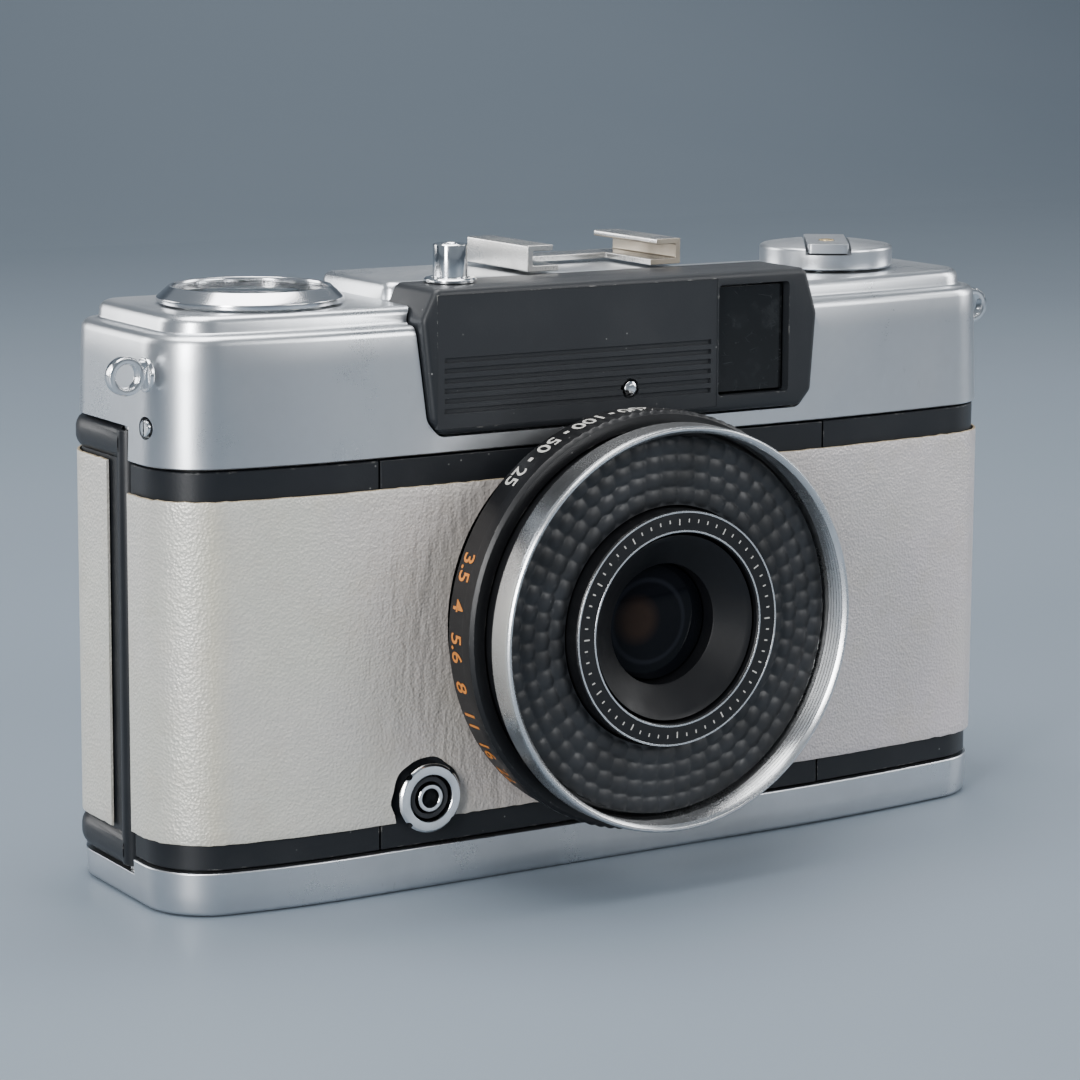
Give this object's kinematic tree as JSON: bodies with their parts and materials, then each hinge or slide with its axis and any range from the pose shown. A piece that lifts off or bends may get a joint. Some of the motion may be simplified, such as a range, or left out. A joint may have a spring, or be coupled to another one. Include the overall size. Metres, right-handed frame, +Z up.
{
  "type": "half frame camera",
  "caption": "Half frame viewfinder camera with a selenium cell ring round the lens, a hinged back, a folding rewind crank and an accessory shoe.",
  "frame": {"origin": "underside of the base plate, below the lens axis, at the middle of the body's depth", "axes": "+Z up, -Y out of the lens, +X to the right seen from the front"},
  "size_m": [0.1237, 0.0475, 0.0724],
  "materials": {
    "satin_chrome": "satin",
    "polished_chrome": "polished",
    "black_paint": "semi-gloss",
    "black_plastic": "semi-gloss",
    "leatherette": "pearl grain",
    "steel": "plain",
    "brass": "plain",
    "optical_glass": "clear",
    "cell_lens": "moulded bubbles",
    "dial_white": "printed"
  },
  "bodies": {
    "camera_body": {"top_cover": "satin_chrome", "base_plate": "satin_chrome", "filter_ring": "satin_chrome", "accessory_shoe": "satin_chrome", "counter_bezel": "polished_chrome", "button_collar": "polished_chrome", "strap_lug_left": "polished_chrome", "strap_lug_right": "polished_chrome", "trim_screw": "polished_chrome", "flash_socket_sleeve": "polished_chrome", "chassis": "black_paint", "front_plate": "black_paint", "lens_mount": "black_paint", "lens_barrel": "black_paint", "name_ring": "black_paint", "lens_cone": "black_paint", "shutter_housing": "black_paint", "finder_hood": "black_plastic", "trim_plate": "black_plastic", "finder_tube": "black_plastic", "eyepiece_frame": "black_plastic", "flash_socket_cup": "black_plastic", "leather_left": "leatherette", "leather_right": "leatherette", "hinge_pin": "steel", "meter_coil": "steel", "base_screw_left": "steel", "base_screw_right": "steel", "cover_screw_left": "steel", "cover_screw_right": "steel", "tripod_socket": "steel", "flash_socket_contact": "brass", "finder_window": "optical_glass", "eyepiece_lens": "optical_glass", "counter_window": "optical_glass", "front_lens": "optical_glass", "rear_lens": "optical_glass", "selenium_cell": "cell_lens"},
    "door": {"back_door": "black_paint", "door_leather": "leatherette", "pressure_spring": "steel"},
    "pressure_pad": {"pressure_plate": "black_paint"},
    "latch": {"door_latch": "satin_chrome"},
    "shutter_release": {"shutter_button": "polished_chrome"},
    "advance": {"advance_wheel": "black_plastic"},
    "take_up": {"take_up_spool": "black_plastic"},
    "sprocket": {"film_sprocket": "black_plastic"},
    "counter": {"counter_disc": "dial_white"},
    "rewind_lift": {"rewind_sleeve": "steel"},
    "rewind": {"rewind_knob": "satin_chrome", "rewind_fork": "steel"},
    "crank": {"rewind_crank": "satin_chrome"},
    "handle": {"crank_handle": "brass"},
    "exposure_ring": {"setting_ring": "black_paint"},
    "rewind_release": {"rewind_release_button": "polished_chrome"},
    "blade_upper": {"shutter_blade_upper": "steel"},
    "blade_lower": {"shutter_blade_lower": "steel"},
    "needle": {"meter_needle": "steel"}
  },
  "joints": [
    {"name": "door_hinge", "type": "hinge", "parent": "camera_body", "child": "door", "pos_m": [-0.0534, -0.0011, 0.03], "axis": [0, 0, 1], "range_deg": [0, 100]},
    {"name": "pressure_pad_float", "type": "slide", "parent": "door", "child": "pressure_pad", "axis": [0, 1, 0], "range_m": [0, 0.0004], "stiffness_N_per_m": 80},
    {"name": "latch_slide", "type": "slide", "parent": "camera_body", "child": "latch", "axis": [0, 0, 1], "range_m": [0, 0.003], "stiffness_N_per_m": 300},
    {"name": "shutter_press", "type": "slide", "parent": "camera_body", "child": "shutter_release", "axis": [0, 0, -1], "range_m": [0, 0.002], "stiffness_N_per_m": 300},
    {"name": "advance_turn", "type": "hinge", "parent": "camera_body", "child": "advance", "pos_m": [-0.0383, 0.0056, 0.056], "axis": [0, 0, 1], "continuous": true},
    {"name": "take_up_turn", "type": "hinge", "parent": "camera_body", "child": "take_up", "pos_m": [-0.0393, 0.0002, 0.03], "axis": [0, 0, 1], "continuous": true},
    {"name": "sprocket_turn", "type": "hinge", "parent": "camera_body", "child": "sprocket", "pos_m": [-0.0205, 0.008, 0.03], "axis": [0, 0, 1], "continuous": true},
    {"name": "counter_turn", "type": "hinge", "parent": "camera_body", "child": "counter", "pos_m": [-0.0383, -0.0008, 0.065], "axis": [0, 0, 1], "continuous": true},
    {"name": "rewind_pull", "type": "slide", "parent": "camera_body", "child": "rewind_lift", "axis": [0, 0, 1], "range_m": [0, 0.006]},
    {"name": "rewind_turn", "type": "hinge", "parent": "rewind_lift", "child": "rewind", "pos_m": [0.0417, 0.0002, 0.066], "axis": [0, 0, 1], "continuous": true},
    {"name": "crank_unfold", "type": "hinge", "parent": "rewind", "child": "crank", "pos_m": [0.04494, 0.00501, 0.06885], "axis": [-0.829, 0.5592, 0], "range_deg": [0, 160]},
    {"name": "handle_spin", "type": "hinge", "parent": "crank", "child": "handle", "pos_m": [0.04092, -0.00096, 0.068], "axis": [0, 0, 1], "continuous": true},
    {"name": "exposure_ring_turn", "type": "hinge", "parent": "camera_body", "child": "exposure_ring", "pos_m": [0, -0.02, 0.0301], "axis": [0, -1, 0], "range_deg": [-60, 75]},
    {"name": "rewind_release_press", "type": "slide", "parent": "camera_body", "child": "rewind_release", "axis": [0, 0, 1], "range_m": [0, 0.0012], "stiffness_N_per_m": 100},
    {"name": "blade_upper_swing", "type": "hinge", "parent": "camera_body", "child": "blade_upper", "pos_m": [0.0082, -0.0162, 0.0301], "axis": [0, 1, 0], "range_deg": [0, 34], "stiffness_Nm_per_rad": 0.002, "springref_deg": -5.73},
    {"name": "blade_lower_swing", "type": "hinge", "parent": "camera_body", "child": "blade_lower", "pos_m": [0.0082, -0.017, 0.0301], "axis": [0, 1, 0], "range_deg": [-34, 0], "stiffness_Nm_per_rad": 0.002, "springref_deg": 5.73},
    {"name": "needle_swing", "type": "hinge", "parent": "camera_body", "child": "needle", "pos_m": [-0.003, 0.005, 0.062], "axis": [0, 0, 1], "range_deg": [-12, 12], "stiffness_Nm_per_rad": 0.0001}
  ],
  "couplings": [
    {"joint": "take_up_turn", "follows": "advance_turn", "ratio": -1},
    {"joint": "sprocket_turn", "follows": "advance_turn", "ratio": -1.5},
    {"joint": "counter_turn", "follows": "advance_turn", "ratio": -0.04},
    {"joint": "blade_lower_swing", "follows": "blade_upper_swing", "ratio": -1}
  ]
}
